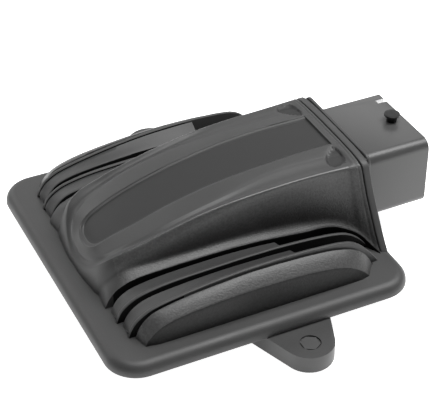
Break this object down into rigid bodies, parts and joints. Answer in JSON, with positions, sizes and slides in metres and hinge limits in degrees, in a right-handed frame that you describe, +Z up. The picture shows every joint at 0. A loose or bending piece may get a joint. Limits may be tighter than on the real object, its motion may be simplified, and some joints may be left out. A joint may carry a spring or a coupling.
{
  "type": "trailer brake controller",
  "caption": "Sealed electronic trailer brake controller with a domed cover, louvred fins at each side, two mounting ears and a rectangular lever-lock connector.",
  "frame": {"origin": "on the mounting face of the base, under the middle of the cover skirt", "axes": "+X out of the connector, +Y across the fins towards one mounting ear, +Z up through the cover"},
  "size_m": [0.1505, 0.161, 0.0431],
  "materials": {
    "cover_plastic": "dark grey moulded plastic with a fine satin grain",
    "base_plastic": "dark grey moulded plastic, finely textured",
    "header_plastic": "dark grey moulded plastic, smoother than the cover",
    "insert_metal": "black coated steel",
    "seal_rubber": "soft black rubber",
    "screw_steel": "zinc plated steel",
    "terminal_tin": "tin plated copper alloy",
    "board_laminate": "green solder mask over glass laminate",
    "spreader_aluminium": "plain milled aluminium",
    "pad_silicone": "soft grey-blue silicone",
    "chip_plastic": "black moulded epoxy",
    "can_aluminium": "drawn aluminium can",
    "core_powder": "painted powder iron",
    "winding_copper": "enamelled copper wire",
    "shunt_metal": "bare resistance alloy",
    "chip_ceramic": "fired ceramic"
  },
  "bodies": {
    "root": {"top_cover": "cover_plastic", "base_plate": "base_plastic", "ear_inserts": "insert_metal", "cover_gasket": "seal_rubber", "cover_screws": "screw_steel", "header_body": "header_plastic", "header_seal": "seal_rubber", "power_blades": "terminal_tin", "signal_pins": "terminal_tin", "main_board": "board_laminate", "board_screws": "screw_steel", "heat_spreader": "spreader_aluminium", "thermal_pad": "pad_silicone", "power_transistors": "chip_plastic", "bulk_capacitors": "can_aluminium", "choke_core": "core_powder", "choke_winding": "winding_copper", "current_shunt": "shunt_metal", "microcontroller": "chip_plastic", "driver_chips": "chip_plastic", "motion_sensor": "chip_plastic", "clock_crystal": "can_aluminium", "clamp_diodes": "chip_plastic", "chip_capacitors": "chip_ceramic", "chip_resistors": "chip_ceramic"}
  },
  "joints": []
}
